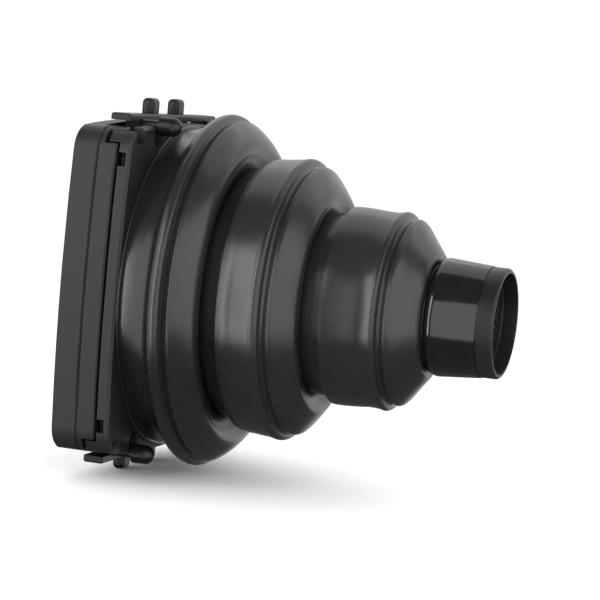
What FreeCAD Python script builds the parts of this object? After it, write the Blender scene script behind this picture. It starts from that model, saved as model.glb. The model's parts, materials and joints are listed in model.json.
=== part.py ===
import FreeCAD, Part
import math
import os
import Sketcher
from FreeCAD import Placement, Rotation, Vector

# Collapsible speedlight snoot: a square frame, a three-step rubber bellows and a hard nozzle.
# Millimetres. +X runs along the beam, +Z is up; X = 0 is the rear mating face of the frame.

DIMENSIONS = {
    # square frame, seen along the beam: slightly crowned sides and round corners
    "half_side": 51.9,
    "side_crown": 2.1,
    "corner_radius": 8.0,
    "rear_depth": 8.0,
    "front_depth": 6.0,
    "gap_depth": 1.0,
    "plate_depth": 3.7,
    "edge_chamfer": 0.5,
    "plate_chamfer": 0.8,
    # openings through the frame
    "rear_opening_half": 39.0,
    "front_opening_half": 41.0,
    "opening_radius": 5.0,
    "seal_half": 42.2,
    "seal_depth": 2.0,
    "seal_recess": 0.1,
    "gasket_half": 45.0,
    "gasket_opening_half": 42.5,
    "plate_bore": 41.6,
    # corner claws and the slots that free them
    "side_slot_start": 38.5,
    "side_slot_width": 4.2,
    "side_slot_depth": 2.3,
    "edge_slot_start": 39.4,
    "edge_slot_width": 6.0,
    "slot_reach": 6.4,
    "claw_start": 45.7,
    "claw_outer": 7.9,
    "claw_inner": 5.6,
    "claw_length": 3.8,
    "relief_margin": 0.6,
    "relief_inner": 5.3,
    "relief_depth": 4.2,
    # screws that join the two frame halves
    "frame_screw_place": 44.0,
    "frame_screw_head": 2.7,
    "frame_screw_head_depth": 2.6,
    "frame_screw_shank": 1.3,
    "frame_screw_length": 11.0,
    "frame_screw_recess": 0.4,
    "frame_screw_clearance": 0.2,
    "cross_length": 0.62,
    "cross_width": 0.16,
    "cross_depth": 0.5,
    # squeeze latches, one above and one below
    "latch_travel": 3.4,
    "bar_bottom": 52.0,
    "bar_thickness": 2.2,
    "bar_half_length": 38.0,
    "bar_back": 6.4,
    "bar_depth": 6.6,
    "bar_round": 0.8,
    "grip_place": 11.0,
    "grip_width": 7.0,
    "grip_depth": 4.0,
    "grip_height": 4.9,
    "grip_back": 6.7,
    "grip_round": 1.6,
    "channel_floor": 48.3,
    "channel_back": 5.6,
    "channel_half_length": 39.5,
    "lug_place": 28.0,
    "lug_width": 7.0,
    "lug_bottom": 48.0,
    "lug_back": 8.9,
    "lug_depth": 4.1,
    "notch_width": 8.2,
    "notch_bottom": 43.9,
    "stud_height": 51.0,
    "stud_shank": 1.7,
    "stud_head": 3.0,
    "stud_shoulder": 19.2,
    "stud_end": 26.0,
    "keyhole_half_width": 2.1,
    "keyhole_radius": 3.4,
    "spring_place": 14.0,
    "spring_depth_place": 10.8,
    "spring_radius": 1.65,
    "spring_wire": 0.3,
    "spring_turns": 5.0,
    "spring_end_gap": 0.35,
    "post_radius": 1.0,
    "post_length": 4.4,
    "pocket_radius": 2.2,
    "pocket_floor": 43.6,
    # ring and screws that clamp the rubber flange to the plate
    "flange_depth": 1.8,
    "flange_inner": 43.2,
    "flange_lip": 0.7,
    "flange_lip_outer": 51.3,
    "clamp_outer": 47.8,
    "clamp_depth": 2.0,
    "clamp_screw_circle": 45.5,
    "clamp_screw_count": 8,
    "clamp_screw_shank": 1.1,
    "clamp_screw_head": 2.1,
    "clamp_screw_head_depth": 1.4,
    "clamp_screw_bite": 2.7,
    "rubber_fold": 1.2,
    # nozzle, its clamp and the honeycomb in its mouth
    "spigot_back": 100.8,
    "spigot_outer": 13.9,
    "spigot_inner": 12.6,
    "seat_back": 102.6,
    "seat_front": 104.9,
    "seat_outer": 16.6,
    "lock_ring_outer": 16.2,
    "tube_stop": 115.0,
    "tube_waist": 13.8,
    "tube_inner": 15.7,
    "tube_front": 121.4,
    "tube_front_radius": 17.4,
    "tube_widest": 108.0,
    "tube_widest_radius": 18.5,
    "tube_edge_round": 2.4,
    "collar_spigot": 2.0,
    "collar_spigot_outer": 16.5,
    "collar_outer": 17.2,
    "collar_front": 126.7,
    "collar_chamfer": 0.7,
    "comb_ring_back": 115.2,
    "comb_ring_front": 122.2,
    "comb_ring_outer": 15.5,
    "comb_ring_inner": 14.7,
    "comb_back": 116.2,
    "comb_front": 122.0,
    "comb_cell": 3.0,
    "comb_wall": 0.4,
}

# Outer and inner outlines of the rubber steps, as (distance along the beam, radius).
# Each step runs from its narrow neck, over a bead and a groove, to the lip where its fold starts.
STEP_OUTER = {
    1: [(19.4, 50.1), (21.2, 50.4), (24.6, 51.3), (28.4, 52.9), (29.5, 54.2), (30.2, 55.3),
        (31.0, 55.8), (32.4, 56.1), (33.3, 55.8), (33.9, 54.4), (34.5, 53.4), (35.3, 53.7),
        (36.3, 54.2), (37.4, 53.5)],
    2: [(47.5, 43.0), (50.0, 43.5), (52.5, 43.7), (55.5, 44.0), (58.0, 44.3), (59.5, 44.6),
        (60.3, 44.4), (60.9, 43.5), (61.4, 42.2), (62.1, 41.7), (63.0, 42.0), (64.1, 42.3),
        (65.0, 41.5)],
    3: [(76.0, 31.1), (78.0, 31.3), (82.0, 31.1), (88.0, 30.7), (90.8, 30.9), (92.4, 31.2),
        (93.1, 30.9), (93.6, 29.9), (94.0, 28.9), (94.7, 28.6), (95.5, 28.9), (96.4, 29.2),
        (97.3, 28.6)],
}
STEP_INNER = {
    1: [(36.1, 52.0), (34.2, 52.0), (31.9, 53.4), (28.4, 51.2), (24.6, 49.5), (20.5, 48.8)],
    2: [(63.4, 40.2), (61.8, 40.1), (59.5, 42.3), (56.5, 42.5), (52.0, 42.2), (48.6, 41.5)],
    3: [(95.6, 27.3), (94.4, 27.0), (92.1, 28.9), (88.5, 29.2), (82.0, 29.4), (77.2, 29.4)],
}
STEP_NECK = {
    2: {"outer": [(40.9, 39.2), (42.4, 39.7), (46.6, 40.0)], "inner": [(47.4, 38.7), (40.4, 37.9)]},
    3: {"outer": [(68.9, 28.5), (70.4, 28.7), (75.2, 28.8)], "inner": [(76.0, 27.5), (68.5, 27.2)]},
}
# Folds: the soft skin between one step's lip and the next step's neck.
FOLD_OUTER = {
    1: [(37.5, 53.4), (38.9, 52.3), (40.7, 50.5), (42.2, 48.4), (42.9, 46.2), (42.4, 43.4),
        (41.2, 40.4)],
    2: [(65.1, 41.4), (66.2, 40.1), (67.6, 38.3), (69.1, 36.2), (70.2, 34.2), (70.3, 32.0),
        (69.4, 29.8)],
    3: [(97.4, 28.5), (98.5, 27.2), (100.2, 24.9), (102.2, 22.3), (103.8, 20.2), (104.6, 18.6)],
}

doc = FreeCAD.newDocument("snoot")
dims = doc.addObject("Spreadsheet::Sheet", "dims")
for row, (alias, value) in enumerate(DIMENSIONS.items(), start=1):
    dims.set("A%d" % row, alias)
    dims.set("B%d" % row, str(value))
    dims.setAlias("B%d" % row, alias)
doc.recompute()

NODES = []


def size(alias):
    """Value of one cell of the sheet."""
    return float(dims.get(alias))


def node(item, label):
    """Name an object as a sub-part that is written to its own file."""
    item.Label = label
    NODES.append(item)
    return item


# ---------------------------------------------------------------- sketch helpers

def new_body(name, beam_place="0"):
    """PartDesign body whose local X = 0 stands at the given distance along the beam."""
    body = doc.addObject("PartDesign::Body", name)
    body.setExpression("Placement.Base.x", beam_place)
    return body


def new_sketch(body, name, role="YZ_Plane", lift="0"):
    """Sketch on one of the body's own origin planes, lifted along the plane's normal."""
    sketch = body.newObject("Sketcher::SketchObject", name)
    plane = [item for item in body.Origin.OriginFeatures if item.Role == role][0]
    sketch.AttachmentSupport = [(plane, "")]
    sketch.MapMode = "FlatFace"
    sketch.setExpression("AttachmentOffset.Base.z", lift)
    return sketch


def add_loop(sketch, curves):
    """Closed outline made of curves laid end to end."""
    first = sketch.GeometryCount
    for curve in curves:
        sketch.addGeometry(curve, False)
    for index in range(len(curves)):
        following = first + (index + 1) % len(curves)
        sketch.addConstraint(Sketcher.Constraint("Coincident", first + index, 2, following, 1))


def add_circle(sketch, y, z, radius):
    """Circle held by its centre and by a radius bound to the sheet."""
    centre = Vector(y, z, 0)
    index = sketch.addGeometry(Part.Circle(centre, Vector(0, 0, 1), size(radius)), False)
    sketch.addConstraint(Sketcher.Constraint("DistanceX", -1, 1, index, 3, y))
    sketch.addConstraint(Sketcher.Constraint("DistanceY", -1, 1, index, 3, z))
    bound = sketch.addConstraint(Sketcher.Constraint("Radius", index, size(radius)))
    sketch.setExpression("Constraints[%d]" % bound, "dims." + radius)


def add_rectangle(sketch, low, high):
    """Axis-aligned rectangle between two corners, each held by its distance from the origin."""
    corners = [Vector(low[0], low[1], 0), Vector(high[0], low[1], 0),
               Vector(high[0], high[1], 0), Vector(low[0], high[1], 0)]
    first = sketch.GeometryCount
    for index in range(4):
        sketch.addGeometry(Part.LineSegment(corners[index], corners[(index + 1) % 4]), False)
    for index in range(4):
        following = first + (index + 1) % 4
        sketch.addConstraint(Sketcher.Constraint("Coincident", first + index, 2, following, 1))
        kind = "Horizontal" if index % 2 == 0 else "Vertical"
        sketch.addConstraint(Sketcher.Constraint(kind, first + index))
    for corner, place in ((0, low), (2, high)):
        sketch.addConstraint(Sketcher.Constraint("DistanceX", -1, 1, first + corner, 1, place[0]))
        sketch.addConstraint(Sketcher.Constraint("DistanceY", -1, 1, first + corner, 1, place[1]))


def polyline(points):
    """Straight segments through the points, closed."""
    vectors = [Vector(x, y, 0) for x, y in points]
    following = vectors[1:] + vectors[:1]
    return [Part.LineSegment(start, end) for start, end in zip(vectors, following)]


def arc_about(centre, radius, start, end):
    """Arc given by its centre, radius and two angles in degrees, running anticlockwise."""
    circle = Part.Circle(Vector(centre[0], centre[1], 0), Vector(0, 0, 1), radius)
    return Part.ArcOfCircle(circle, math.radians(start), math.radians(end))


def rounded_square(half, radius):
    """Four sides and four quarter arcs."""
    reach = half - radius
    curves = []
    for quarter in range(4):
        turn = Rotation(Vector(0, 0, 1), 90 * quarter)
        side = [turn.multVec(Vector(half, -reach, 0)), turn.multVec(Vector(half, reach, 0))]
        centre = turn.multVec(Vector(reach, reach, 0))
        curves.append(Part.LineSegment(side[0], side[1]))
        curves.append(arc_about((centre.x, centre.y), radius, 90 * quarter, 90 * quarter + 90))
    return curves


def corner_centre():
    """Distance from the axis to the centre of a corner arc, on both axes."""
    crown, half = size("side_crown"), size("half_side")
    chord = half - size("corner_radius")
    big = (chord ** 2 + crown ** 2) / (2 * crown)
    shift = big - half
    reach = big - size("corner_radius")
    return (-shift + math.sqrt(2 * reach ** 2 - shift ** 2)) / 2, big


def crowned_square():
    """Outline of the frame: four flat arcs for the sides, tangent to four corner arcs."""
    corner, big = corner_centre()
    shift = big - size("half_side")
    lean = math.degrees(math.atan2(corner, corner + shift))
    curves = []
    for quarter in range(4):
        turn = Rotation(Vector(0, 0, 1), 90 * quarter)
        side_centre = turn.multVec(Vector(-shift, 0, 0))
        round_centre = turn.multVec(Vector(corner, corner, 0))
        base = 90 * quarter
        curves.append(arc_about((side_centre.x, side_centre.y), big, base - lean, base + lean))
        curves.append(arc_about((round_centre.x, round_centre.y), size("corner_radius"),
                                base + lean, base + 90 - lean))
    return curves


def pad(body, sketch, name, length, reverse=False):
    """Pad whose length is bound to the sheet."""
    feature = body.newObject("PartDesign::Pad", name)
    feature.Profile = sketch
    feature.Reversed = reverse
    feature.setExpression("Length", length)
    doc.recompute()
    return feature


def pocket(body, sketch, name, length):
    """Pocket cut towards +X from its sketch; it must remove material."""
    before = body.Shape.Volume
    feature = body.newObject("PartDesign::Pocket", name)
    feature.Profile = sketch
    feature.Reversed = True
    feature.setExpression("Length", length)
    doc.recompute()
    if body.Shape.Volume > before - 0.01:
        raise ValueError(name + " removes nothing")
    return feature


def revolve(body, sketch, name):
    """Full turn of an (along the beam, radius) profile about the beam axis."""
    feature = body.newObject("PartDesign::Revolution", name)
    feature.Profile = sketch
    feature.ReferenceAxis = (sketch, ["H_Axis"])
    feature.Angle = 360
    doc.recompute()
    return feature


def chamfer_outline(body, base, name, place, width, inside):
    """Chamfer the outer edges of a plate that lie at one distance along the beam."""
    edges = []
    for index, edge in enumerate(base.Shape.Edges, start=1):
        box = edge.BoundBox
        level = abs(box.XMin - place) < 1e-4 and abs(box.XMax - place) < 1e-4
        reach = max(abs(box.YMin), abs(box.YMax), abs(box.ZMin), abs(box.ZMax))
        if level and reach > inside:
            edges.append("Edge%d" % index)
    feature = body.newObject("PartDesign::Chamfer", name)
    feature.Base = (base, edges)
    feature.setExpression("Size", width)
    doc.recompute()
    return feature


SIDES = (1, -1)
CORNERS = [(1, 1), (-1, 1), (-1, -1), (1, -1)]


def mirrored_rectangle(sketch, signs, low, high):
    """Rectangle given in the first quadrant, placed in the quadrant with these signs."""
    ys = sorted((signs[0] * low[0], signs[0] * high[0]))
    zs = sorted((signs[1] * low[1], signs[1] * high[1]))
    add_rectangle(sketch, (ys[0], zs[0]), (ys[1], zs[1]))


# ---------------------------------------------------------------- frame

def cut_channels(body, name, lift, length):
    """Shallow channel along the top and the bottom edge, under each latch bar."""
    sketch = new_sketch(body, name + "_sketch", lift=lift)
    reach = size("channel_half_length")
    outside = size("half_side") + 2
    for side in SIDES:
        zs = sorted((side * size("channel_floor"), side * outside))
        add_rectangle(sketch, (-reach, zs[0]), (reach, zs[1]))
    pocket(body, sketch, name, length)


def make_rear_frame():
    """Rear half of the frame, with a rebate for the light seal and counterbored screw holes."""
    body = new_body("RearFrame")
    outline = new_sketch(body, "RearOutline")
    add_loop(outline, crowned_square())
    add_loop(outline, rounded_square(size("rear_opening_half"), size("opening_radius")))
    ring = pad(body, outline, "RearRing", "dims.rear_depth")
    outer = size("seal_half")
    chamfered = chamfer_outline(body, ring, "RearBackEdge", 0, "dims.edge_chamfer", outer)
    chamfer_outline(body, chamfered, "RearFrontEdge", size("rear_depth"),
                    "dims.edge_chamfer", outer)
    rebate = new_sketch(body, "SealRebateSketch")
    add_loop(rebate, rounded_square(size("seal_half"), size("opening_radius")))
    pocket(body, rebate, "SealRebate", "dims.seal_depth")
    cut_channels(body, "RearChannels", "dims.channel_back",
                 "dims.rear_depth - dims.channel_back")
    place = size("frame_screw_place")
    for radius, extra, length, name in (
            ("frame_screw_head", "frame_screw_clearance",
             "dims.frame_screw_head_depth + dims.frame_screw_recess", "HeadBores"),
            ("frame_screw_shank", "frame_screw_clearance", "dims.rear_depth", "ShankBores")):
        sketch = new_sketch(body, name + "Sketch")
        for sign_y, sign_z in CORNERS:
            centre = Vector(sign_y * place, sign_z * place, 0)
            bore = size(radius) + size(extra)
            sketch.addGeometry(Part.Circle(centre, Vector(0, 0, 1), bore), False)
        pocket(body, sketch, name, length)
    return node(body, "rear_frame")


def make_front_frame():
    """Front half: corner reliefs for the claws, notches for the latch lugs, spring pockets."""
    body = new_body("FrontFrame", "dims.rear_depth")
    outline = new_sketch(body, "FrontOutline")
    add_loop(outline, crowned_square())
    add_loop(outline, rounded_square(size("front_opening_half"), size("opening_radius")))
    ring = pad(body, outline, "FrontRing", "dims.front_depth")
    outer = size("seal_half")
    chamfered = chamfer_outline(body, ring, "FrontBackEdge", 0, "dims.edge_chamfer", outer)
    chamfer_outline(body, chamfered, "FrontFrontEdge", size("front_depth"),
                    "dims.edge_chamfer", outer)
    cut_channels(body, "FrontChannels", "0", "dims.front_depth")
    notches = new_sketch(body, "LugNotchSketch")
    half = size("notch_width") / 2
    outside = size("half_side") + 2
    for signs in CORNERS:
        mirrored_rectangle(notches, signs, (size("lug_place") - half, size("notch_bottom")),
                           (size("lug_place") + half, outside))
    pocket(body, notches, "LugNotches", "dims.front_depth")
    relief = new_sketch(body, "ClawReliefSketch", lift="dims.front_depth - dims.relief_depth")
    add_corner_sectors(relief, size("claw_start") - size("relief_margin"), size("relief_inner"),
                       size("corner_radius") + 1)
    pocket(body, relief, "ClawReliefs", "dims.relief_depth")
    bores = new_sketch(body, "FrameThreadSketch")
    place = size("frame_screw_place")
    for sign_y, sign_z in CORNERS:
        add_circle(bores, sign_y * place, sign_z * place, "frame_screw_shank")
    pocket(body, bores, "FrameThreads",
           "dims.frame_screw_recess + dims.frame_screw_length - dims.rear_depth + 0.4")
    pockets = doc.addObject("Part::MultiFuse", "SpringPocketTools")
    pockets.Shapes = [spring_pocket(side, turn) for side in SIDES for turn in SIDES]
    cut = doc.addObject("Part::Cut", "FrontFrameCut")
    cut.Base = body
    cut.Tool = pockets
    return node(cut, "front_frame")


def spring_pocket(side, turn):
    """Blind round pocket sunk into the top or bottom edge of the front frame."""
    tool = doc.addObject("Part::Cylinder", "SpringPocket")
    tool.setExpression("Radius", "dims.pocket_radius")
    tool.setExpression("Height", "dims.half_side - dims.pocket_floor + 2")
    tool.Placement = Placement(Vector(), Rotation(Vector(1, 0, 0), 0 if side > 0 else 180))
    tool.setExpression("Placement.Base.x", "dims.spring_depth_place")
    tool.setExpression("Placement.Base.y", "%d * dims.spring_place" % turn)
    tool.setExpression("Placement.Base.z", "%d * dims.pocket_floor" % side)
    return tool


def add_corner_sectors(sketch, start, inner, outer):
    """Four strips that follow the corner arcs, each beyond the same distance on both axes."""
    corner, _big = corner_centre()
    gap = start - corner
    for quarter in range(4):
        turn = Rotation(Vector(0, 0, 1), 90 * quarter)
        centre = turn.multVec(Vector(corner, corner, 0))
        ends = []
        for radius in (inner, outer):
            low = math.degrees(math.asin(gap / radius))
            ends.append((low + 90 * quarter, 90 - low + 90 * quarter))
        arcs = [arc_about((centre.x, centre.y), radius, *span)
                for radius, span in zip((inner, outer), ends)]
        sketch.addGeometry(arcs[0], False)
        sketch.addGeometry(Part.LineSegment(arcs[0].EndPoint, arcs[1].EndPoint), False)
        sketch.addGeometry(arcs[1], False)
        sketch.addGeometry(Part.LineSegment(arcs[1].StartPoint, arcs[0].StartPoint), False)


def make_light_seal():
    """Foam ring that lies in the rebate of the rear face."""
    body = new_body("LightSeal", "dims.seal_recess")
    outline = new_sketch(body, "SealOutline")
    add_loop(outline, rounded_square(size("seal_half"), size("opening_radius")))
    add_loop(outline, rounded_square(size("rear_opening_half"), size("opening_radius")))
    pad(body, outline, "SealRing", "dims.seal_depth - dims.seal_recess")
    return node(body, "light_seal")


def make_gap_gasket():
    """Narrow ring set back between the frame and the plate."""
    body = new_body("GapGasket", "dims.rear_depth + dims.front_depth")
    outline = new_sketch(body, "GasketOutline")
    add_loop(outline, rounded_square(size("gasket_half"), size("opening_radius")))
    add_loop(outline, rounded_square(size("gasket_opening_half"), size("opening_radius")))
    pad(body, outline, "GasketRing", "dims.gap_depth")
    return node(body, "gap_gasket")


def make_adapter_plate():
    """Front plate that carries the bellows: slotted corners, corner claws and four keyholes."""
    body = new_body("AdapterPlate", "dims.rear_depth + dims.front_depth + dims.gap_depth")
    outline = new_sketch(body, "PlateOutline")
    add_loop(outline, crowned_square())
    add_circle(outline, 0, 0, "plate_bore")
    ring = pad(body, outline, "PlateRing", "dims.plate_depth")
    chamfer_outline(body, ring, "PlateFrontEdge", size("plate_depth"),
                    "dims.plate_chamfer", size("seal_half"))
    outside = size("half_side") + 2
    slot_floor = size("half_side") - size("slot_reach")
    side_slots = new_sketch(body, "SideSlotSketch")
    edge_slots = new_sketch(body, "EdgeSlotSketch")
    for signs in CORNERS:
        start = size("side_slot_start")
        mirrored_rectangle(side_slots, signs, (slot_floor, start),
                           (outside, start + size("side_slot_width")))
        start = size("edge_slot_start")
        mirrored_rectangle(edge_slots, signs, (start, slot_floor),
                           (start + size("edge_slot_width"), outside))
    pocket(body, side_slots, "SideSlots", "dims.side_slot_depth")
    pocket(body, edge_slots, "EdgeSlots", "dims.plate_depth")
    keyways = new_sketch(body, "KeywaySketch")
    seats = new_sketch(body, "KeySeatSketch")
    seat_height = size("stud_height") - size("latch_travel")
    for signs in CORNERS:
        mirrored_rectangle(keyways, signs,
                           (size("lug_place") - size("keyhole_half_width"), seat_height),
                           (size("lug_place") + size("keyhole_half_width"), outside))
        add_circle(seats, signs[0] * size("lug_place"), signs[1] * seat_height,
                   "keyhole_radius")
    pocket(body, keyways, "Keyways", "dims.plate_depth")
    pocket(body, seats, "KeySeats", "dims.plate_depth")
    bores = new_sketch(body, "ClampThreadSketch",
                       lift="dims.plate_depth - dims.clamp_screw_bite")
    for y, z in screw_circle():
        add_circle(bores, y, z, "clamp_screw_shank")
    pocket(body, bores, "ClampThreads", "dims.clamp_screw_bite")
    claws = new_sketch(body, "ClawSketch")
    add_corner_sectors(claws, size("claw_start"), size("claw_inner"), size("claw_outer"))
    pad(body, claws, "Claws", "dims.claw_length", reverse=True)
    return node(body, "adapter_plate")


def screw_circle():
    """Centres of the clamp-ring screws, half a step off the vertical."""
    count = int(size("clamp_screw_count"))
    radius = size("clamp_screw_circle")
    angles = [math.radians(360 * (index + 0.5) / count) for index in range(count)]
    return [(radius * math.cos(angle), radius * math.sin(angle)) for angle in angles]


# ---------------------------------------------------------------- screws and clamp ring

def screw_master(name, shank, head, head_depth, length):
    """One screw along +X: a flat head at X = 0 with a rounded rim and a cross, then its shank."""
    body = doc.addObject("PartDesign::Body", name)
    sketch = new_sketch(body, name + "Profile", role="XY_Plane")
    rim = 0.25 * head_depth
    points = [(0, 0), (0, head - rim), (rim, head), (head_depth, head),
              (head_depth, shank), (length, shank), (length, 0)]
    add_loop(sketch, polyline(points))
    revolve(body, sketch, name + "Turn")
    cross = new_sketch(body, name + "CrossSketch")
    long, short = size("cross_length") * head, size("cross_width") * head
    add_loop(cross, polyline([(long, -short), (long, short), (short, short), (short, long),
                              (-short, long), (-short, short), (-long, short),
                              (-long, -short), (-short, -short), (-short, -long),
                              (short, -long), (short, -short)]))
    pocket(body, cross, name + "Cross", "dims.cross_depth * %g" % head_depth)
    return body


def group(label, shape, placements):
    """Identical pieces in one node."""
    copies = []
    for placement in placements:
        copy = shape.copy()
        copy.Placement = placement
        copies.append(copy)
    item = doc.addObject("Part::Feature", label.title().replace("_", ""))
    item.Shape = Part.makeCompound(copies)
    return node(item, label)


def make_frame_screws():
    """Four screws, heads sunk below the rear face."""
    screw = screw_master("FrameScrew", size("frame_screw_shank"), size("frame_screw_head"),
                         size("frame_screw_head_depth"), size("frame_screw_length"))
    place = size("frame_screw_place")
    places = [Placement(Vector(size("frame_screw_recess"), y * place, z * place), Rotation())
              for y, z in CORNERS]
    return group("frame_screws", screw.Shape, places)


def plate_front():
    """Distance along the beam of the plate's front face."""
    return size("rear_depth") + size("front_depth") + size("gap_depth") + size("plate_depth")


def clamp_front():
    """Distance along the beam of the clamp ring's front face."""
    return plate_front() + size("flange_depth") + size("clamp_depth")


def make_clamp_ring():
    """Ring that presses the rubber flange on to the plate, with a hole for each screw."""
    body = new_body("ClampRing", "dims.rear_depth + dims.front_depth + dims.gap_depth"
                    " + dims.plate_depth + dims.flange_depth")
    outline = new_sketch(body, "ClampOutline")
    add_circle(outline, 0, 0, "clamp_outer")
    add_circle(outline, 0, 0, "flange_inner")
    for y, z in screw_circle():
        add_circle(outline, y, z, "clamp_screw_shank")
    pad(body, outline, "ClampPad", "dims.clamp_depth")
    return node(body, "bellows_clamp_ring")


def make_clamp_screws():
    """Eight pan-head screws through the clamp ring and the flange into the plate."""
    head_depth = size("clamp_screw_head_depth")
    reach = size("clamp_depth") + size("flange_depth") + size("clamp_screw_bite")
    screw = screw_master("ClampScrew", size("clamp_screw_shank"), size("clamp_screw_head"),
                         head_depth, head_depth + reach - 0.1)
    front = clamp_front() + head_depth
    facing_back = Rotation(Vector(0, 0, 1), 180)
    places = [Placement(Vector(front, y, z), facing_back) for y, z in screw_circle()]
    return group("clamp_ring_screws", screw.Shape, places)


# ---------------------------------------------------------------- bellows

def spline(points):
    """Smooth curve through (along the beam, radius) points, in the XZ half-plane."""
    curve = Part.BSplineCurve()
    curve.interpolate([Vector(x, 0, radius) for x, radius in points])
    return curve.toShape()


def lines(points):
    """Straight edges through (along the beam, radius) points."""
    vectors = [Vector(x, 0, radius) for x, radius in points]
    return [Part.makeLine(start, end) for start, end in zip(vectors, vectors[1:])]


def turned(edges):
    """Solid of revolution about the beam axis from one closed outline."""
    face = Part.Face(Part.Wire(Part.__sortEdges__(edges)))
    return face.revolve(Vector(), Vector(1, 0, 0), 360)


def make_step(number):
    """One rubber step: a bead and groove at its wide end, a narrow neck at its other end."""
    outer, inner = STEP_OUTER[number], STEP_INNER[number]
    edges = [spline(outer), spline(inner)]
    edges += lines([outer[-1], inner[0]])
    if number == 1:
        base = plate_front()
        flange, lip = base + size("flange_depth"), base + size("flange_lip")
        rim = size("flange_lip_outer")
        edges += lines([inner[-1], (flange, size("flange_inner")), (base, size("flange_inner")),
                        (base, rim), (lip, rim), outer[0]])
    else:
        neck = STEP_NECK[number]
        edges += [spline(neck["outer"])]
        edges += lines([inner[-1]] + neck["inner"] + [neck["outer"][0]])
        edges += lines([neck["outer"][-1], outer[0]])
    item = doc.addObject("Part::Feature", "BellowsStep%d" % number)
    item.Shape = bored_for_screws(turned(edges)) if number == 1 else turned(edges)
    return node(item, "bellows_stage_%d" % number)


def bored_for_screws(shape):
    """Flange holes for the clamp-ring screws."""
    for y, z in screw_circle():
        drill = Part.makeCylinder(size("clamp_screw_shank"), size("flange_depth") + 2,
                                  Vector(plate_front() - 1, y, z), Vector(1, 0, 0))
        shape = shape.cut(drill)
    return shape


def make_fold(number):
    """Rolling skin of even thickness between two steps."""
    outer = spline(FOLD_OUTER[number])
    curve = outer.Curve
    inner_points = []
    count = 9
    for index in range(count):
        share = curve.FirstParameter + index * (curve.LastParameter - curve.FirstParameter) / (count - 1)
        along = curve.tangent(share)[0]
        inward = Vector(along.z, 0, -along.x)
        point = curve.value(share) + inward * size("rubber_fold")
        inner_points.append((point.x, point.z))
    ends = [(outer.valueAt(outer.LastParameter), inner_points[-1]),
            (outer.valueAt(outer.FirstParameter), inner_points[0])]
    edges = [outer, spline(inner_points)]
    for start, end in ends:
        edges += lines([(start.x, start.z), end])
    item = doc.addObject("Part::Feature", "BellowsFold%d" % number)
    item.Shape = turned(edges)
    return node(item, "bellows_fold_%d" % number)


# ---------------------------------------------------------------- nozzle

def turned_body(name, label, curves):
    """Body turned from one closed profile in (along the beam, radius)."""
    body = doc.addObject("PartDesign::Body", name)
    sketch = new_sketch(body, name + "Profile", role="XY_Plane")
    add_loop(sketch, curves)
    revolve(body, sketch, name + "Turn")
    return node(body, label)


def ring_profile(back, front, inner, outer):
    """Rectangle of a plain ring."""
    return polyline([(back, inner), (front, inner), (front, outer), (back, outer)])


def make_nozzle_tube():
    """Tapered tube with a rounded rear shoulder, a rear spigot and a stop for the honeycomb."""
    seat, front = size("seat_front"), size("tube_front")
    round_edge = size("tube_edge_round")
    shoulder = size("tube_widest_radius") - round_edge
    rebate = front - size("collar_spigot")
    widest = (size("tube_widest"), size("tube_widest_radius"))
    corners = [(seat, shoulder), (seat, size("spigot_outer")),
               (size("spigot_back"), size("spigot_outer")),
               (size("spigot_back"), size("spigot_inner")), (seat, size("spigot_inner")),
               (seat + 4, size("tube_waist")), (size("tube_stop"), size("tube_waist")),
               (size("tube_stop"), size("tube_inner")), (rebate, size("tube_inner")),
               (rebate, size("collar_spigot_outer")), (front, size("collar_spigot_outer")),
               (front, size("tube_front_radius")), widest]
    middle = ((seat + widest[0]) / 2 - 0.85, (shoulder + widest[1]) / 2 + 0.55)
    curves = polyline(corners)[:-1]
    curves.append(Part.Arc(*[Vector(x, radius, 0) for x, radius in (widest, middle, corners[0])]))
    return turned_body("NozzleTube", "nozzle_tube", curves)


def make_nozzle_seat():
    """Rubber cuff at the end of the bellows, held between the tube and the lock ring."""
    profile = ring_profile(size("seat_back"), size("seat_front"), size("spigot_outer"),
                           size("seat_outer"))
    return turned_body("NozzleSeat", "bellows_nozzle_cuff", profile)


def make_lock_ring():
    """Ring screwed on to the tube's spigot behind the cuff."""
    profile = ring_profile(size("spigot_back"), size("seat_back"), size("spigot_outer"),
                           size("lock_ring_outer"))
    return turned_body("LockRing", "nozzle_lock_ring", profile)


def make_collar():
    """Front collar with a spigot that fits into the tube."""
    rebate = size("tube_front") - size("collar_spigot")
    front, outer = size("collar_front"), size("collar_outer")
    bevel = size("collar_chamfer")
    profile = polyline([(rebate, size("tube_inner")), (front, size("tube_inner")),
                        (front, outer - bevel), (front - bevel, outer),
                        (size("tube_front"), outer),
                        (size("tube_front"), size("collar_spigot_outer")),
                        (rebate, size("collar_spigot_outer"))])
    return turned_body("NozzleCollar", "nozzle_collar", profile)


def make_comb_ring():
    """Thin ring that holds the honeycomb and slides in the tube."""
    profile = ring_profile(size("comb_ring_back"), size("comb_ring_front"),
                           size("comb_ring_inner"), size("comb_ring_outer"))
    return turned_body("CombRing", "honeycomb_ring", profile)


def hexagon(y, z, across):
    """Hexagonal face, two sides level, at one place of the grid."""
    radius = across / math.sqrt(3)
    points = [Vector(0, y + radius * math.cos(math.radians(60 * index)),
                     z + radius * math.sin(math.radians(60 * index))) for index in range(7)]
    return Part.Face(Part.makePolygon(points))


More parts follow.
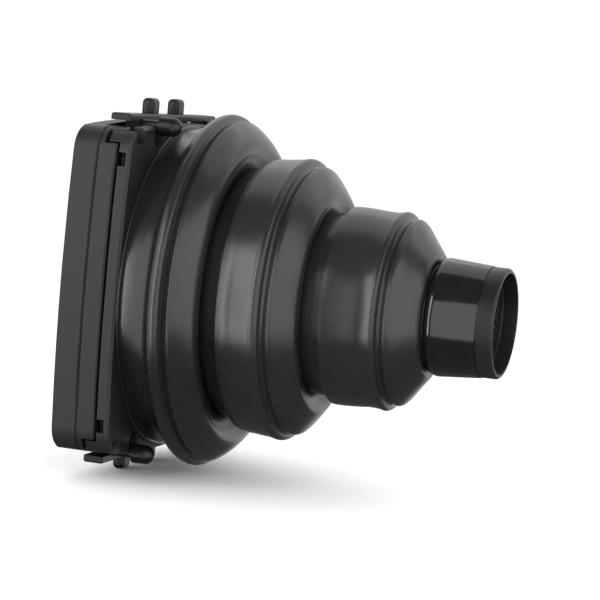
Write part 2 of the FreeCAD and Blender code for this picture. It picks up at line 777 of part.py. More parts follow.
def make_honeycomb():
    """Grid of hexagonal cells cut through a disc."""
    pitch = size("comb_cell") + size("comb_wall")
    radius = size("comb_ring_inner")
    disc = Part.Face(Part.Wire(Part.makeCircle(radius, Vector(), Vector(1, 0, 0))))
    reach = int(radius / pitch) + 2
    cells = []
    for column in range(-reach, reach + 1):
        for level in range(-reach, reach + 1):
            y = column * pitch * math.sqrt(3) / 2
            z = (level + 0.5 * (column % 2)) * pitch
            if math.hypot(y, z) < radius - 0.25 * pitch:
                cells.append(hexagon(y, z, size("comb_cell")))
    rim = disc.cut(Part.Face(Part.Wire(Part.makeCircle(radius - size("comb_wall"), Vector(),
                                                       Vector(1, 0, 0)))))
    web = disc.cut(cells).fuse(rim).removeSplitter()
    grid = web.Faces[0].extrude(Vector(size("comb_front") - size("comb_back"), 0, 0))
    item = doc.addObject("Part::Feature", "HoneycombGrid")
    item.Shape = grid
    item.Placement = Placement(Vector(size("comb_back"), 0, 0), Rotation())
    return node(item, "honeycomb_grid")


# ---------------------------------------------------------------- latches

def block(name, corner, extent):
    """Box whose corner and size are expressions of the sheet."""
    item = doc.addObject("Part::Box", name)
    for axis, expression in zip("xyz", corner):
        item.setExpression("Placement.Base." + axis, expression)
    for prop, expression in zip(("Length", "Width", "Height"), extent):
        item.setExpression(prop, expression)
    return item


def rounded_block(name, corner, extent, radius):
    """Block with its upright edges and top edges rounded."""
    base = block(name, corner, extent)
    doc.recompute()
    fillet = doc.addObject("Part::Fillet", name + "Round")
    fillet.Base = base
    top = base.Shape.BoundBox.ZMax
    edges = []
    for index, edge in enumerate(base.Shape.Edges, start=1):
        box = edge.BoundBox
        upright = box.ZLength > 0.5
        if upright or box.ZMin > top - 1e-4:
            edges.append((index, radius, radius))
    fillet.Edges = edges
    return fillet


def latch_pieces(name):
    """Pieces of one latch bar, drawn for the upper latch."""
    pieces = [rounded_block(name + "Bar",
                            ("dims.bar_back", "-dims.bar_half_length", "dims.bar_bottom"),
                            ("dims.bar_depth", "2 * dims.bar_half_length",
                             "dims.bar_thickness"), size("bar_round"))]
    for turn in SIDES:
        pieces.append(rounded_block(
            name + "Grip",
            ("dims.grip_back", "%d * dims.grip_place - dims.grip_width / 2" % turn,
             "dims.bar_bottom + dims.bar_thickness / 2"),
            ("dims.grip_depth", "dims.grip_width",
             "dims.bar_thickness / 2 + dims.grip_height"), size("grip_round")))
        pieces.append(block(
            name + "Lug",
            ("dims.lug_back", "%d * dims.lug_place - dims.lug_width / 2" % turn,
             "dims.lug_bottom"),
            ("dims.lug_depth", "dims.lug_width",
             "dims.bar_bottom + dims.bar_thickness / 2 - dims.lug_bottom")))
        post = doc.addObject("Part::Cylinder", name + "Post")
        post.setExpression("Radius", "dims.post_radius")
        post.setExpression("Height", "dims.post_length + dims.bar_thickness / 2")
        post.setExpression("Placement.Base.x", "dims.spring_depth_place")
        post.setExpression("Placement.Base.y", "%d * dims.spring_place" % turn)
        post.setExpression("Placement.Base.z", "dims.bar_bottom - dims.post_length")
        pieces.append(post)
    return pieces


def side_turn(side):
    """The lower latch is the upper one turned half round the beam."""
    return Placement(Vector(), Rotation(Vector(1, 0, 0), 0 if side > 0 else 180))


def make_latch_bar(label, side):
    """Bar with two finger grips, two lugs that carry the studs and two spring posts."""
    name = label.title().replace("_", "")
    bar = doc.addObject("Part::MultiFuse", name)
    bar.Shapes = latch_pieces(name)
    bar.Placement = side_turn(side)
    return node(bar, label + "_bar")


def make_latch_studs(label, side):
    """Two headed studs that point forward through the plate's keyholes."""
    start = size("lug_back") + size("lug_depth")
    shoulder = size("stud_shoulder") - start
    length = size("stud_end") - start
    head, shank = size("stud_head"), size("stud_shank")
    body = doc.addObject("PartDesign::Body", label.title().replace("_", "") + "Stud")
    sketch = new_sketch(body, body.Name + "Profile", role="XY_Plane")
    curves = polyline([(length - head, head), (shoulder, head), (shoulder, shank), (0, shank),
                       (0, 0), (length, 0)])[:-1]
    curves.append(arc_about((length - head, 0), head, 0, 90))
    add_loop(sketch, curves)
    revolve(body, sketch, body.Name + "Turn")
    places = [side_turn(side).multiply(
        Placement(Vector(start, turn * size("lug_place"), size("stud_height")), Rotation()))
        for turn in SIDES]
    return group(label + "_studs", body.Shape, places)


def make_latch_springs(label, side):
    """Two compression springs between the pocket floors and the bar."""
    floor = size("pocket_floor") + size("spring_end_gap")
    height = size("bar_bottom") - size("spring_end_gap") - floor
    radius = size("spring_radius")
    helix = Part.makeHelix(height / size("spring_turns"), height, radius)
    wire = Part.Wire(Part.makeCircle(size("spring_wire"), Vector(radius, 0, 0), Vector(0, 1, 0)))
    coil = Part.Wire(helix).makePipeShell([wire], True, True)
    places = [side_turn(side).multiply(
        Placement(Vector(size("spring_depth_place"), turn * size("spring_place"), floor),
                  Rotation())) for turn in SIDES]
    return group(label + "_springs", coil, places)


# ---------------------------------------------------------------- build and write

def build():
    """Make every sub-part."""
    make_rear_frame()
    make_front_frame()
    make_frame_screws()
    make_light_seal()
    make_gap_gasket()
    make_adapter_plate()
    make_clamp_ring()
    make_clamp_screws()
    for number in (1, 2, 3):
        make_step(number)
        make_fold(number)
    make_nozzle_seat()
    make_lock_ring()
    make_nozzle_tube()
    make_collar()
    make_comb_ring()
    make_honeycomb()
    for label, side in (("top_latch", 1), ("bottom_latch", -1)):
        make_latch_bar(label, side)
        make_latch_studs(label, side)
        make_latch_springs(label, side)


def check_and_write():
    """Refuse a failed document, then write one file per sub-part."""
    doc.recompute()
    for item in doc.Objects:
        if "Invalid" in item.State or "Error" in item.State:
            raise ValueError("failed object: " + item.Name)
    for item in NODES:
        if item.Shape.isNull() or not item.Shape.isValid() or not item.Shape.Solids:
            raise ValueError("bad shape: " + item.Label)
    os.makedirs("parts", exist_ok=True)
    for item in NODES:
        item.Shape.exportStep("parts/%s.step" % item.Label)
        print(item.Label, len(item.Shape.Solids), round(item.Shape.Volume, 1))


build()
check_and_write()
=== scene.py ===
import json
import math

import bpy
from mathutils import Matrix, Vector


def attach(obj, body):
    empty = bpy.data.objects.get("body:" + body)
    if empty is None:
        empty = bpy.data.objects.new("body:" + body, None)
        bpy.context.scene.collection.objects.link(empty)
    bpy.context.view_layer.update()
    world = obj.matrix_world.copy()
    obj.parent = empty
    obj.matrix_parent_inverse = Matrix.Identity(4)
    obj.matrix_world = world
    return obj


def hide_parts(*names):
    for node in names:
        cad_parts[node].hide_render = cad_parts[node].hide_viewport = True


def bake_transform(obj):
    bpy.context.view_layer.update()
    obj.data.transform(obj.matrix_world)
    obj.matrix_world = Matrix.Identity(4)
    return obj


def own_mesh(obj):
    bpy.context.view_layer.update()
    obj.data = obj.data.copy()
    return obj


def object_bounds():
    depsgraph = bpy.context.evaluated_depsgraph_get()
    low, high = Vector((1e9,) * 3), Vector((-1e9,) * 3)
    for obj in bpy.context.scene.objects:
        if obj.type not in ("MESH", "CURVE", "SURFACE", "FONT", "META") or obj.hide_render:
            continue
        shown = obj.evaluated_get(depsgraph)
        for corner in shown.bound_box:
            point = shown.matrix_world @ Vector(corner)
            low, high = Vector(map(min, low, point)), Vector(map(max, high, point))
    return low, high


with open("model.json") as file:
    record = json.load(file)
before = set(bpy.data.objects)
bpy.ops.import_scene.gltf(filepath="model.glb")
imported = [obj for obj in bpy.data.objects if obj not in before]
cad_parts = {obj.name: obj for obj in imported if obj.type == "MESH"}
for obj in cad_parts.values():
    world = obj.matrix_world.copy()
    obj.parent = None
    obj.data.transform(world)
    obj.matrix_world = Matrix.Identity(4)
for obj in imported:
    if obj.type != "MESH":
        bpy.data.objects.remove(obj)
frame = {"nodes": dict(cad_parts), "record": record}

# Looks of the collapsible snoot. Metres, same frame as the CAD: +X along the beam, +Z up.
CAD_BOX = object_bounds()
MM = 0.001
TURN_STEPS = 288        # facets round a turned piece
PROFILE_STEP = 0.35     # millimetres between profile points on a curve
SKIN = 1.2              # millimetres, thickness of a rubber fold
SHARP_EDGE = 50         # degrees between facets from which an edge is drawn sharp

# Outlines of the rubber, as (millimetres along the beam, radius). Outer ones follow the skin from
# the frame towards the nozzle, and inner ones come back.
FLANGE_LIP = [(18.7, 51.15), (18.85, 51.3), (19.05, 51.3), (19.25, 51.15), (19.33, 50.6)]
FLANGE_BORE = [(20.5, 43.2), (18.7, 43.2)]
STEP_OUTER = {
    1: [(19.4, 50.1), (21.2, 50.4), (24.6, 51.3), (28.4, 52.9), (29.5, 54.2), (30.2, 55.3),
        (31.0, 55.8), (32.4, 56.1), (33.3, 55.8), (33.9, 54.4), (34.5, 53.4)],
    2: [(47.5, 43.0), (50.0, 43.5), (52.5, 43.7), (55.5, 44.0), (58.0, 44.3), (59.5, 44.6),
        (60.3, 44.4), (60.9, 43.5), (61.4, 42.2), (62.1, 41.7)],
    3: [(76.0, 31.2), (78.0, 31.25), (82.0, 31.1), (88.0, 30.7), (90.8, 30.9), (92.4, 31.2),
        (93.1, 30.9), (93.6, 29.9), (94.0, 28.9), (94.7, 28.6)],
}
STEP_INNER = {
    1: [(34.2, 52.0), (31.9, 53.4), (28.4, 51.2), (24.6, 49.5), (20.5, 48.8)],
    2: [(61.8, 40.1), (59.5, 42.3), (56.5, 42.5), (52.0, 42.2), (48.6, 41.5)],
    3: [(94.4, 27.0), (92.1, 28.9), (88.5, 29.2), (82.0, 29.4), (77.2, 29.4)],
}
NECK = {
    2: {"outer": [(40.9, 39.2), (42.4, 39.7), (46.6, 40.0)], "inner": [(47.4, 38.7), (40.4, 37.9)]},
    3: {"outer": [(68.9, 28.5), (70.4, 28.7), (75.2, 28.8)], "inner": [(76.0, 27.5), (68.5, 27.2)]},
}
FOLD_OUTER = {
    1: [(34.5, 53.4), (35.3, 53.7), (36.3, 54.2), (37.4, 53.5), (38.9, 52.3), (40.7, 50.5),
        (42.2, 48.4), (42.9, 46.2), (42.4, 43.4), (41.6, 41.3), (40.9, 39.2)],
    2: [(62.1, 41.7), (63.0, 42.0), (64.1, 42.3), (65.0, 41.5), (66.2, 40.1), (67.6, 38.3),
        (69.1, 36.2), (70.2, 34.2), (70.3, 32.0), (69.6, 30.2), (68.9, 28.5)],
    3: [(94.7, 28.6), (95.5, 28.9), (96.4, 29.2), (97.3, 28.6), (98.5, 27.2), (100.2, 24.9),
        (102.2, 22.3), (103.8, 20.2), (104.5, 18.8), (104.6, 17.2)],
}
STEP_BODY = {1: "frame", 2: "stage_2", 3: "stage_3"}

# Outlines of the nozzle, from the same two measures.
TUBE_SHOULDER = [(104.95, 16.2), (105.2, 17.2), (105.9, 18.0), (107.2, 18.5), (109.5, 18.42)]
TUBE_FRONT = [(121.3, 17.42), (121.39, 17.36), (121.4, 16.5), (119.4, 16.5), (119.4, 15.7)]
TUBE_BORE = [(115.0, 15.7), (115.0, 13.8), (108.9, 13.8), (104.9, 12.6), (100.8, 12.6)]
TUBE_SPIGOT = [(100.8, 13.9), (104.9, 13.9)]
COLLAR = [(121.41, 15.7), (126.7, 15.7), (126.7, 16.5), (126.0, 17.2), (121.41, 17.2)]
CUFF = [(102.6, 13.9), (104.9, 13.9), (104.9, 16.6), (102.6, 16.6)]
LOCK_RING = [(100.8, 13.9), (102.6, 13.9), (102.6, 16.2), (100.8, 16.2)]
COMB_RING = [(115.2, 14.7), (122.2, 14.7), (122.2, 15.5), (115.2, 15.5)]


# ---------------------------------------------------------------- curves and turned meshes

def smooth(points):
    """Centripetal spline through the points, divided evenly."""
    padded = [reflect(points[1], points[0])] + points + [reflect(points[-2], points[-1])]
    out = []
    for p0, p1, p2, p3 in zip(padded, padded[1:], padded[2:], padded[3:]):
        count = max(2, round(math.dist(p1, p2) / PROFILE_STEP))
        out += [between(p0, p1, p2, p3, index / count) for index in range(count)]
    return out + [points[-1]]


def reflect(point, about):
    """Mirror image of a point about another."""
    return (2 * about[0] - point[0], 2 * about[1] - point[1])


def between(p0, p1, p2, p3, share):
    """Point on the spline span from p1 to p2."""
    knots = [0.0]
    for start, end in ((p0, p1), (p1, p2), (p2, p3)):
        knots.append(knots[-1] + math.sqrt(math.dist(start, end)))
    t = knots[1] + share * (knots[2] - knots[1])

    def mix(a, b, ta, tb):
        weight = (t - ta) / (tb - ta)
        return tuple(x + (y - x) * weight for x, y in zip(a, b))

    a1 = mix(p0, p1, knots[0], knots[1])
    a2 = mix(p1, p2, knots[1], knots[2])
    a3 = mix(p2, p3, knots[2], knots[3])
    b1 = mix(a1, a2, knots[0], knots[2])
    b2 = mix(a2, a3, knots[1], knots[3])
    return mix(b1, b2, knots[1], knots[2])


def offset(points, distance):
    """Outline moved to the inner side of a curve that runs forward."""
    out = []
    for index, (x, radius) in enumerate(points):
        before = points[max(index - 1, 0)]
        after = points[min(index + 1, len(points) - 1)]
        along = Vector((after[0] - before[0], after[1] - before[1])).normalized()
        out.append((x + along.y * distance, radius - along.x * distance))
    return out


def rounded(points, radius, steps=4):
    """Closed outline with each corner rounded by a small arc."""
    out = []
    for index, corner in enumerate(points):
        before, after = points[index - 1], points[(index + 1) % len(points)]
        reach = min(radius, 0.45 * math.dist(corner, before), 0.45 * math.dist(corner, after))
        start = toward(corner, before, reach)
        end = toward(corner, after, reach)
        for step in range(steps + 1):
            t = step / steps
            out.append(tuple((1 - t) ** 2 * s + 2 * t * (1 - t) * c + t * t * e
                             for s, c, e in zip(start, corner, end)))
    return out


def toward(start, end, reach):
    """Point at a distance from start on the way to end."""
    share = reach / math.dist(start, end)
    return tuple(s + (e - s) * share for s, e in zip(start, end))


def turned(name, profile, material):
    """Solid of revolution about the beam axis from a closed outline in millimetres."""
    points = []
    for step in range(TURN_STEPS):
        angle = 2 * math.pi * step / TURN_STEPS
        cos, sin = math.cos(angle), math.sin(angle)
        points += [(x * MM, radius * cos * MM, radius * sin * MM) for x, radius in profile]
    rows = len(profile)
    faces = []
    for step in range(TURN_STEPS):
        here, there = step * rows, (step + 1) % TURN_STEPS * rows
        for row in range(rows):
            following = (row + 1) % rows
            faces.append((here + row, there + row, there + following, here + following))
    mesh = bpy.data.meshes.new(name)
    mesh.from_pydata(points, [], faces)
    if signed_area(profile) > 0:
        mesh.flip_normals()
    mesh.shade_smooth()
    mesh.set_sharp_from_angle(angle=math.radians(SHARP_EDGE))
    return linked(name, mesh, material)


def linked(name, mesh, material):
    """Piece with one material, put in the scene."""
    mesh.materials.append(material)
    piece = bpy.data.objects.new(name, mesh)
    bpy.context.scene.collection.objects.link(piece)
    return piece


def signed_area(profile):
    """Positive when the outline runs anticlockwise in (along, radius)."""
    following = profile[1:] + profile[:1]
    return sum(a[0] * b[1] - b[0] * a[1] for a, b in zip(profile, following)) / 2


# ---------------------------------------------------------------- materials

def new_material(name):
    """Node material, with its Principled shader and a node for texture coordinates."""
    material = bpy.data.materials.new(name)
    material.use_nodes = True
    nodes, links = material.node_tree.nodes, material.node_tree.links
    shader = nodes["Principled BSDF"]
    place = nodes.new("ShaderNodeTexCoord")
    return material, nodes, links, shader, place


def add_noise(nodes, links, place, scale, detail=4.0, stretch=(1, 1, 1)):
    """Noise in object space; scale is in cells per metre."""
    mapping = nodes.new("ShaderNodeMapping")
    mapping.inputs["Scale"].default_value = stretch
    links.new(place.outputs["Object"], mapping.inputs["Vector"])
    noise = nodes.new("ShaderNodeTexNoise")
    noise.inputs["Scale"].default_value = scale
    noise.inputs["Detail"].default_value = detail
    links.new(mapping.outputs["Vector"], noise.inputs["Vector"])
    return noise.outputs["Fac"]


def add_ramp(nodes, links, source, stops):
    """Colour ramp; stops are (place, grey or colour)."""
    ramp = nodes.new("ShaderNodeValToRGB")
    elements = ramp.color_ramp.elements
    while len(elements) < len(stops):
        elements.new(0.5)
    for element, (at, colour) in zip(elements, stops):
        element.position = at
        triple = colour if isinstance(colour, tuple) else (colour,) * 3
        element.color = (*triple, 1)
    links.new(source, ramp.inputs["Fac"])
    return ramp.outputs["Color"]


def add_mix(nodes, links, factor, first, second):
    """Mix of two colour outputs."""
    mix = nodes.new("ShaderNodeMix")
    mix.data_type = "RGBA"
    if isinstance(factor, float):
        mix.inputs["Factor"].default_value = factor
    else:
        links.new(factor, mix.inputs["Factor"])
    links.new(first, mix.inputs["A"])
    links.new(second, mix.inputs["B"])
    return mix.outputs["Result"]


def add_bumps(nodes, links, shader, layers):
    """Stack of bump layers; each is (height output, distance in metres, strength)."""
    previous = None
    for height, distance, strength in layers:
        bump = nodes.new("ShaderNodeBump")
        bump.inputs["Distance"].default_value = distance
        bump.inputs["Strength"].default_value = strength
        links.new(height, bump.inputs["Height"])
        if previous is not None:
            links.new(previous, bump.inputs["Normal"])
        previous = bump.outputs["Normal"]
    links.new(previous, shader.inputs["Normal"])


def rubber_material():
    """Satin black silicone: fine moulded grain, faint bloom and a little dust."""
    material, nodes, links, shader, place = new_material("silicone_rubber")
    broad = add_noise(nodes, links, place, 28, 3)
    cloud = add_noise(nodes, links, place, 160, 5)
    grain = add_noise(nodes, links, place, 2600, 3)
    base = add_ramp(nodes, links, broad, [(0.32, (0.0085, 0.0087, 0.0080)),
                                          (0.70, (0.0135, 0.0137, 0.0127))])
    dust = add_ramp(nodes, links, cloud, [(0.55, 0.0), (0.82, 0.10)])
    speck = add_ramp(nodes, links, grain, [(0.35, (0.012, 0.012, 0.0115)),
                                           (0.8, (0.045, 0.045, 0.042))])
    links.new(add_mix(nodes, links, dust, base, speck), shader.inputs["Base Color"])
    rough = add_mix(nodes, links, 0.5,
                    add_ramp(nodes, links, cloud, [(0.3, 0.23), (0.75, 0.30)]),
                    add_ramp(nodes, links, grain, [(0.3, 0.23), (0.8, 0.32)]))
    links.new(rough, shader.inputs["Roughness"])
    shader.inputs["Specular IOR Level"].default_value = 0.5
    add_bumps(nodes, links, shader, [(grain, 0.00003, 0.35), (cloud, 0.0001, 0.25)])
    return material


WEAR_AND_HIGHLIGHT_RADIUS = 0.0005    # metres, reach of the lighter band along an edge, partly wear and partly painted highlight
CREVICE_REACH = 0.006   # metres, how far off a wall still shades a slot
OPEN_SPECULAR = 0.28    # specular level of moulded plastic out in the open


def plastic_material(name, dark, light, rough, grain_scale, grain_depth):
    """Moulded plastic with a spark-eroded grain, lighter along its edges from wear and a painted
    highlight, with painted shade in its crevices.
    """
    material, nodes, links, shader, place = new_material(name)
    broad = add_noise(nodes, links, place, 45, 4)
    grain = add_noise(nodes, links, place, grain_scale, 2)
    base = add_ramp(nodes, links, broad, [(0.3, dark), (0.72, light)])
    # lighter colour along edges: partly wear, partly a painted highlight on the rims
    worn_and_lit = add_ramp(nodes, links, broad, [(0.3, tuple(2.0 * c for c in dark)),
                                          (0.7, tuple(2.6 * c for c in light))])
    edge = edge_mask(nodes, links)
    wear_and_highlight = add_mix(nodes, links, edge, base, worn_and_lit)
    links.new(wear_and_highlight, shader.inputs["Base Color"])
    links.new(add_ramp(nodes, links, broad, [(0.3, rough - 0.05), (0.7, rough + 0.06)]),
              shader.inputs["Roughness"])
    # specular level lowered in crevices: painted shade
    links.new(crevice_shade_specular(nodes, links), shader.inputs["Specular IOR Level"])
    add_bumps(nodes, links, shader, [(grain, grain_depth, 0.5), (broad, 0.00012, 0.15)])
    return material


def crevice_shade_specular(nodes, links):
    """Specular level, full in the open and turned down in slots and crevices as painted shade."""
    hollow = nodes.new("ShaderNodeAmbientOcclusion")
    hollow.samples = 8
    hollow.inputs["Distance"].default_value = CREVICE_REACH
    return add_ramp(nodes, links, hollow.outputs["AO"], [(0.25, 0.02), (0.85, OPEN_SPECULAR)])


def edge_mask(nodes, links):
    """Mask of edges, from how far a rounded normal leans away from the true one."""
    bevel = nodes.new("ShaderNodeBevel")
    bevel.samples = 4
    bevel.inputs["Radius"].default_value = WEAR_AND_HIGHLIGHT_RADIUS
    geometry = nodes.new("ShaderNodeNewGeometry")
    dot = nodes.new("ShaderNodeVectorMath")
    dot.operation = "DOT_PRODUCT"
    links.new(bevel.outputs["Normal"], dot.inputs[0])
    links.new(geometry.outputs["Normal"], dot.inputs[1])
    return add_ramp(nodes, links, dot.outputs["Value"], [(0.80, 0.55), (0.99, 0.0)])


def gloss_material():
    """Hard glossy black tube with faint swirl scratches and fingerprints."""
    material, nodes, links, shader, place = new_material("gloss_black_plastic")
    smear = add_noise(nodes, links, place, 90, 5)
    scratch = add_noise(nodes, links, place, 700, 6, stretch=(6, 1, 1))
    base = add_ramp(nodes, links, smear, [(0.3, (0.004, 0.004, 0.004)),
                                          (0.75, (0.007, 0.007, 0.0065))])
    links.new(base, shader.inputs["Base Color"])
    rough = add_mix(nodes, links, 0.35,
                    add_ramp(nodes, links, smear, [(0.35, 0.10), (0.75, 0.17)]),
                    add_ramp(nodes, links, scratch, [(0.4, 0.08), (0.8, 0.2)]))
    links.new(rough, shader.inputs["Roughness"])
    shader.inputs["Specular IOR Level"].default_value = 0.6
    add_bumps(nodes, links, shader, [(scratch, 0.00002, 0.1), (smear, 0.00008, 0.06)])
    return material


def metal_material(name, colour, rough, metallic=1.0):
    """Turned or rolled metal with fine tool marks."""
    material, nodes, links, shader, place = new_material(name)
    marks = add_noise(nodes, links, place, 900, 4, stretch=(1, 1, 8))
    broad = add_noise(nodes, links, place, 120, 3)
    dark = tuple(0.75 * c for c in colour)
    links.new(add_ramp(nodes, links, broad, [(0.3, dark), (0.7, colour)]),
              shader.inputs["Base Color"])
    links.new(add_ramp(nodes, links, marks, [(0.3, rough - 0.06), (0.75, rough + 0.1)]),
              shader.inputs["Roughness"])
    shader.inputs["Metallic"].default_value = metallic
    add_bumps(nodes, links, shader, [(marks, 0.00003, 0.25)])
    return material


def foam_material():
    """Closed-cell foam with small pores."""
    material, nodes, links, shader, place = new_material("seal_foam")
    cells = nodes.new("ShaderNodeTexVoronoi")
    cells.inputs["Scale"].default_value = 2200
    links.new(place.outputs["Object"], cells.inputs["Vector"])
    pores = cells.outputs["Distance"]
    links.new(add_ramp(nodes, links, pores, [(0.1, (0.006, 0.006, 0.006)),
                                             (0.6, (0.026, 0.026, 0.026))]),
              shader.inputs["Base Color"])
    links.new(add_ramp(nodes, links, pores, [(0.1, 0.95), (0.6, 0.8)]),
              shader.inputs["Roughness"])
    add_bumps(nodes, links, shader, [(pores, 0.0002, 0.7)])
    return material


MATERIALS = {
    "bellows_rubber": rubber_material(),
    "frame_plastic": plastic_material("frame_plastic", (0.011, 0.011, 0.0106),
                                      (0.016, 0.016, 0.0153), 0.44, 1500, 0.00005),
    "plate_plastic": plastic_material("plate_plastic", (0.011, 0.011, 0.0106),
                                      (0.016, 0.016, 0.0153), 0.42, 1500, 0.00005),
    "latch_plastic": plastic_material("latch_plastic", (0.008, 0.008, 0.0077),
                                      (0.012, 0.012, 0.0115), 0.36, 1900, 0.00004),
    "nozzle_plastic": gloss_material(),
    "seal_foam": foam_material(),
    "stud_metal": metal_material("black_oxide_stud", (0.035, 0.034, 0.033), 0.34, 0.85),
    "screw_steel": metal_material("zinc_screw", (0.32, 0.32, 0.33), 0.3),
    "spring_steel": metal_material("spring_wire", (0.55, 0.55, 0.56), 0.25),
    "comb_metal": metal_material("anodised_comb", (0.05, 0.05, 0.052), 0.35, 0.7),
}


# ---------------------------------------------------------------- bellows

def place_piece(piece, body, slot, *nodes):
    """The piece rides on a body and stands for CAD nodes."""
    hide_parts(*nodes)
    if body:
        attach(piece, body)
    return piece


def make_step(number):
    """One step of the bellows, from its flange or neck to the bottom of its groove."""
    outer = smooth(STEP_OUTER[number])
    inner = smooth(STEP_INNER[number])
    if number == 1:
        profile = FLANGE_LIP + outer + inner + FLANGE_BORE
    else:
        neck = NECK[number]
        profile = smooth(neck["outer"]) + outer + inner + neck["inner"]
    piece = turned("bellows_step_%d" % number, profile, MATERIALS["bellows_rubber"])
    place_piece(piece, STEP_BODY[number], "bellows_rubber", "bellows_stage_%d" % number)


def make_fold(number):
    """Soft skin from the groove over the lip to the next neck."""
    outer = smooth(FOLD_OUTER[number])
    inner = offset(outer, SKIN)
    piece = turned("bellows_roll_%d" % number, outer + inner[::-1], MATERIALS["bellows_rubber"])
    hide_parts("bellows_fold_%d" % number)
    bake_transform(piece)


# ---------------------------------------------------------------- nozzle

def make_nozzle():
    """Tube, collar, cuff, lock ring and honeycomb sleeve, with small rounded edges."""
    tube = smooth(TUBE_SHOULDER) + TUBE_FRONT + TUBE_BORE + TUBE_SPIGOT
    for name, profile, slot, node in (
            ("nozzle_shell", tube, "nozzle_plastic", "nozzle_tube"),
            ("nozzle_front_collar", rounded(COLLAR, 0.25), "latch_plastic", "nozzle_collar"),
            ("bellows_end_cuff", rounded(CUFF, 0.3), "bellows_rubber", "bellows_nozzle_cuff"),
            ("nozzle_back_ring", rounded(LOCK_RING, 0.25), "nozzle_plastic", "nozzle_lock_ring")):
        place_piece(turned(name, profile, MATERIALS[slot]), "nozzle", slot, node)
    comb = turned("comb_ring", rounded(COMB_RING, 0.15), MATERIALS["comb_metal"])
    place_piece(comb, "honeycomb", "comb_metal", "honeycomb_ring")


# ---------------------------------------------------------------- latch springs

SPRING_X, SPRING_Y = 10.8, 14.0     # millimetres, place of a spring in its latch
SPRING_FOOT, SPRING_TOP = 43.95, 51.65     # millimetres from the beam axis
SPRING_TURNS, COIL_RADIUS, WIRE_RADIUS = 5, 1.65, 0.3
WIRE_SIDES, STEPS_PER_TURN = 8, 28


def make_spring(name, side, place):
    """Helical return spring of a latch."""
    steps = SPRING_TURNS * STEPS_PER_TURN
    points, faces = [], []
    for step in range(steps + 1):
        turn = 2 * math.pi * step / STEPS_PER_TURN
        height = SPRING_FOOT + (SPRING_TOP - SPRING_FOOT) * step / steps
        for corner in range(WIRE_SIDES):
            angle = 2 * math.pi * corner / WIRE_SIDES
            radius = COIL_RADIUS + WIRE_RADIUS * math.cos(angle)
            points.append(((SPRING_X + radius * math.cos(turn)) * MM,
                           side * (place + radius * math.sin(turn)) * MM,
                           side * (height + WIRE_RADIUS * math.sin(angle)) * MM))
            after = (corner + 1) % WIRE_SIDES
            if step < steps:
                start = step * WIRE_SIDES
                faces.append((start + corner, start + corner + WIRE_SIDES,
                              start + after + WIRE_SIDES, start + after))
    last = steps * WIRE_SIDES
    faces += [tuple(range(WIRE_SIDES)), tuple(range(last + WIRE_SIDES - 1, last - 1, -1))]
    mesh = bpy.data.meshes.new(name)
    mesh.from_pydata(points, [], faces)
    mesh.shade_smooth()
    return linked(name, mesh, MATERIALS["spring_steel"])


def make_latch_springs():
    """Two springs under each latch."""
    for latch, side in (("top_latch", 1), ("bottom_latch", -1)):
        for label, place in (("left", -SPRING_Y), ("right", SPRING_Y)):
            piece = make_spring("%s_spring_%s" % (latch, label), side, place)
            place_piece(piece, "frame", "spring_steel", latch + "_springs")
            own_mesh(piece)


# ---------------------------------------------------------------- carried-over CAD nodes

def dress_cad_nodes():
    """Material for every CAD node that stays, and soft edges on the moulded ones."""
    slots = {entry["node"]: entry["material_slot"] for entry in frame["record"]["subparts"]}
    for name, node in frame["nodes"].items():
        if node.hide_render:
            continue
        node.data.materials.clear()
        node.data.materials.append(MATERIALS[slots[name]])
        if slots[name] in ("frame_plastic", "plate_plastic", "latch_plastic"):
            soften(node)


EDGE_ROUND = 0.00022    # metres, width of a rounded edge
FLAT_LIMIT = 1.5        # degrees between facets up to which they become one face
ROUND_LIMIT = 38        # degrees between faces from which an edge is rounded
CREASE_LIMIT = 32       # degrees between faces from which an edge is drawn sharp


def soften(node):
    """Small rounded edges on a CAD node."""
    flat = node.modifiers.new("flat_faces", "DECIMATE")
    flat.decimate_type = "DISSOLVE"
    flat.angle_limit = math.radians(FLAT_LIMIT)
    edges = node.modifiers.new("edge_round", "BEVEL")
    edges.width = EDGE_ROUND
    edges.segments = 2
    edges.limit_method = "ANGLE"
    edges.angle_limit = math.radians(ROUND_LIMIT)
    edges.harden_normals = False
    node.data.shade_smooth()
    node.data.set_sharp_from_angle(angle=math.radians(CREASE_LIMIT))


# ---------------------------------------------------------------- stage, light and camera

AIM = Vector((0.060, 0, 0))
CAMERA_AZIMUTH = 17.7
CAMERA_ELEVATION = 5.21
CAMERA_ROLL = 5.09
CAMERA_DISTANCE = 0.7884
CAMERA_LENS = 150.0
FLOOR_RADIUS = 0.9
FLOOR_CORNERS = 96
FLOOR_FADE = [(0.16, 1.0), (0.62, 0.0)]     # distance from the middle, opacity
WORLD_SEEN = 1.05                           # strength for the camera and for diffuse light
WORLD_MIRRORED = 0.12                       # strength in glossy reflections
# Name, azimuth, elevation, distance from the aim, width, height, radiance.
SOFTBOXES = (
    ("key", 14, 0, 0.95, 0.85, 1.35, 1.6),
    ("left", -36, 4, 0.95, 0.34, 1.3, 5.0),
    ("far_left", -63, 4, 0.95, 0.50, 1.3, 1.5),
    ("front", 74, 8, 1.0, 1.3, 1.1, 1.8),
    ("rear_top", 180, 58, 1.2, 2.2, 1.1, 0.9),
    ("backdrop", 180, 8, 1.6, 4.0, 1.8, 0.8),
)


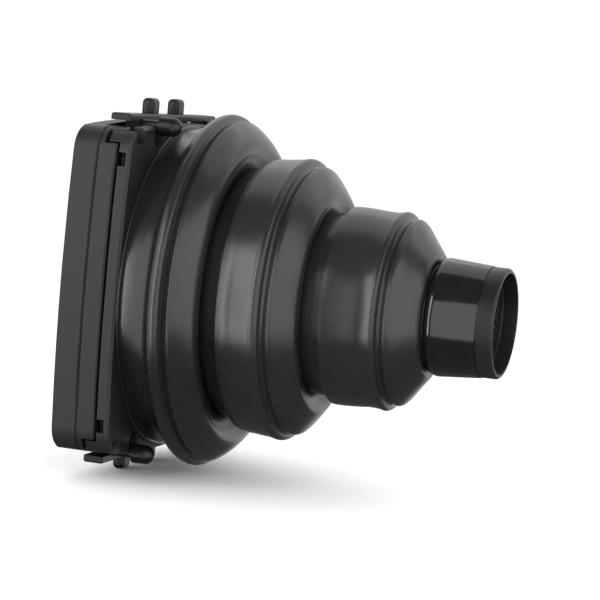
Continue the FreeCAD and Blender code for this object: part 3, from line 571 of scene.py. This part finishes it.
def make_floor():
    """Pale round floor under the lowest point; it fades out before its rim."""
    low = CAD_BOX[0].z
    turns = [2 * math.pi * index / FLOOR_CORNERS for index in range(FLOOR_CORNERS)]
    rim = [(AIM.x + FLOOR_RADIUS * math.cos(turn), FLOOR_RADIUS * math.sin(turn), low)
           for turn in turns]
    mesh = bpy.data.meshes.new("floor")
    mesh.from_pydata(rim, [], [tuple(range(FLOOR_CORNERS))])
    material, nodes, links, shader, place = new_material("floor_paper")
    fibre = add_noise(nodes, links, place, 400, 3)
    links.new(add_ramp(nodes, links, fibre, [(0.2, 0.86), (0.8, 0.90)]),
              shader.inputs["Base Color"])
    shader.inputs["Roughness"].default_value = 0.9
    away = nodes.new("ShaderNodeVectorMath")
    away.operation = "DISTANCE"
    away.inputs[1].default_value = (AIM.x, 0, low)
    links.new(place.outputs["Object"], away.inputs[0])
    links.new(add_ramp(nodes, links, away.outputs["Value"], FLOOR_FADE), shader.inputs["Alpha"])
    floor = linked("floor", mesh, material)
    floor.visible_glossy = False


def direction(azimuth, elevation):
    """Unit vector from the object; azimuth 0 is towards -Y and 90 towards +X, in degrees."""
    turn, rise = math.radians(azimuth), math.radians(elevation)
    return Vector((math.sin(turn) * math.cos(rise), -math.cos(turn) * math.cos(rise),
                   math.sin(rise)))


def add_softbox(name, azimuth, elevation, distance, wide, tall, radiance):
    """Rectangular light aimed at the object, as bright everywhere as the radiance says."""
    light = bpy.data.lights.new(name, "AREA")
    light.shape = "RECTANGLE"
    light.size, light.size_y = wide, tall
    light.energy = radiance * wide * tall * math.pi
    lamp = bpy.data.objects.new(name, light)
    toward_lamp = direction(azimuth, elevation)
    lamp.location = AIM + toward_lamp * distance
    lamp.rotation_euler = toward_lamp.to_track_quat("Z", "Y").to_euler()
    lamp.visible_camera = False
    bpy.context.scene.collection.objects.link(lamp)


def make_world():
    """White for the camera and the floor, and dim in what the object mirrors."""
    world = bpy.data.worlds.new("studio")
    bpy.context.scene.world = world
    world.use_nodes = True
    nodes, links = world.node_tree.nodes, world.node_tree.links
    nodes.clear()
    seen, mirrored = nodes.new("ShaderNodeBackground"), nodes.new("ShaderNodeBackground")
    seen.inputs["Color"].default_value = (1, 1, 1, 1)
    seen.inputs["Strength"].default_value = WORLD_SEEN
    mirrored.inputs["Color"].default_value = (1, 1, 1, 1)
    mirrored.inputs["Strength"].default_value = WORLD_MIRRORED
    ray = nodes.new("ShaderNodeLightPath")
    mix = nodes.new("ShaderNodeMixShader")
    out = nodes.new("ShaderNodeOutputWorld")
    links.new(ray.outputs["Is Glossy Ray"], mix.inputs["Fac"])
    links.new(seen.outputs["Background"], mix.inputs[1])
    links.new(mirrored.outputs["Background"], mix.inputs[2])
    links.new(mix.outputs["Shader"], out.inputs["Surface"])


def make_lights():
    """Softboxes; the first four stand on the -Y side of the object and the last two on the +Y."""
    for softbox in SOFTBOXES:
        add_softbox(*softbox)


def make_camera():
    """Camera on the -Y side, slightly above and towards the nozzle, rolled anticlockwise."""
    camera = bpy.data.cameras.new("camera")
    camera.lens = CAMERA_LENS
    camera.sensor_width = 36.0
    camera.clip_start, camera.clip_end = 0.01, 50
    back = direction(CAMERA_AZIMUTH, CAMERA_ELEVATION)
    right = back.cross(Vector((0, 0, 1))) * -1
    right.normalize()
    up = back.cross(right)
    roll = math.radians(CAMERA_ROLL)
    rolled_right = math.cos(roll) * right + math.sin(roll) * up
    rolled_up = math.cos(roll) * up - math.sin(roll) * right
    eye = bpy.data.objects.new("camera", camera)
    eye.rotation_mode = "QUATERNION"
    axes = Matrix((rolled_right, rolled_up, back)).transposed()
    eye.rotation_quaternion = axes.to_quaternion()
    eye.location = AIM + back * CAMERA_DISTANCE
    bpy.context.scene.collection.objects.link(eye)
    bpy.context.scene.camera = eye


for number in (1, 2, 3):
    make_step(number)
    make_fold(number)
make_nozzle()
make_latch_springs()
dress_cad_nodes()
make_floor()
make_world()
make_lights()
make_camera()
bpy.context.scene.view_settings.view_transform = "Standard"
